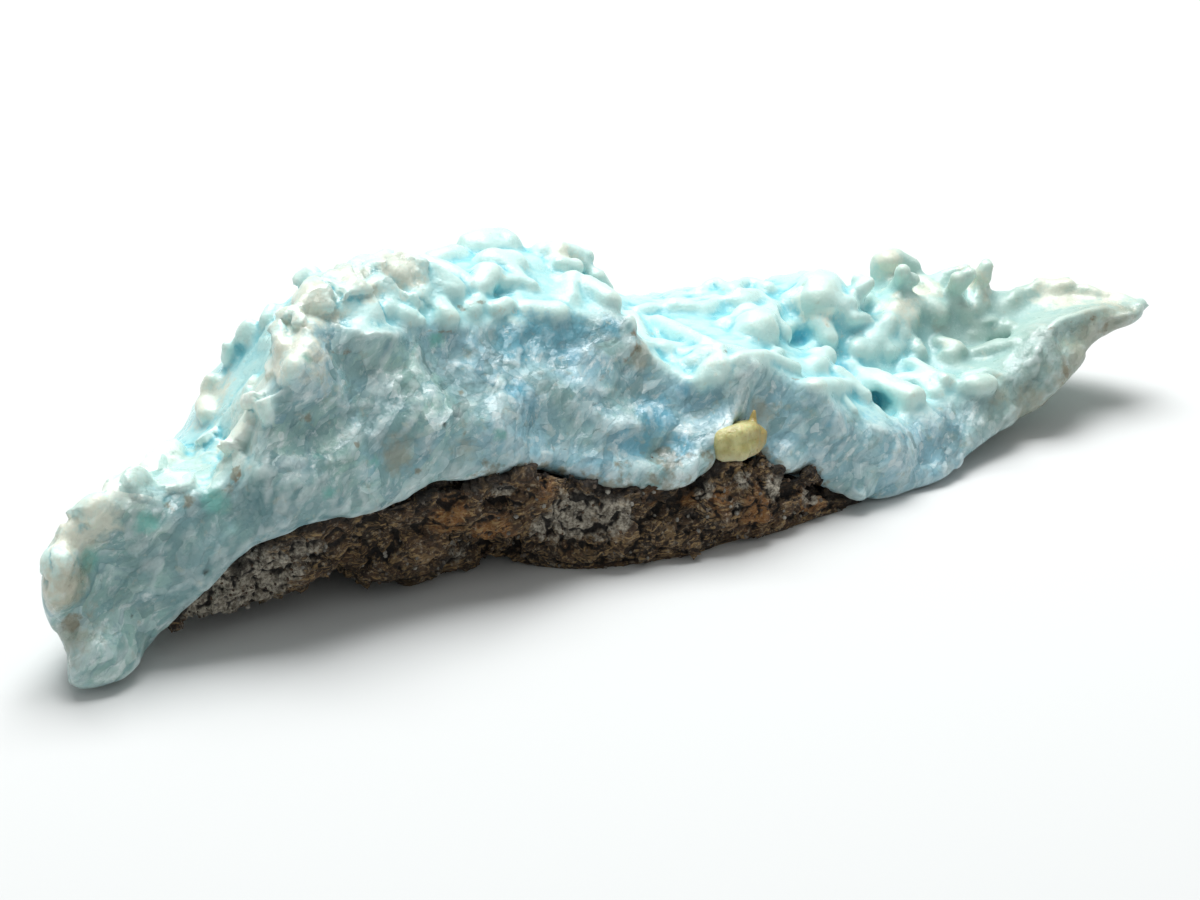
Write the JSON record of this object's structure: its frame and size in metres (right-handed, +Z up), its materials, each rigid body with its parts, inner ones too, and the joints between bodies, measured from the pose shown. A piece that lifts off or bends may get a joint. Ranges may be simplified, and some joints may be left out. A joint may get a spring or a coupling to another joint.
{
  "type": "aragonite mineral specimen",
  "caption": "Loose blue aragonite crust with knobs and fingers on top, a broken facetted front and brown host rock underneath, resting on a flat.",
  "frame": {"origin": "middle of the ground under the piece's bounding box", "axes": "+X along the piece to its thin end, +Y to its back, +Z up"},
  "size_m": [0.1732, 0.0576, 0.0401],
  "materials": {
    "aragonite": "waxy to sugary, faintly translucent pale blue aragonite",
    "host_rock": "rough crumbly iron-stained host rock",
    "yellow_grain": "dull earthy yellow mineral"
  },
  "bodies": {
    "root": {"aragonite_crust": "aragonite", "host_rock": "host_rock", "yellow_grain": "yellow_grain"}
  },
  "joints": []
}
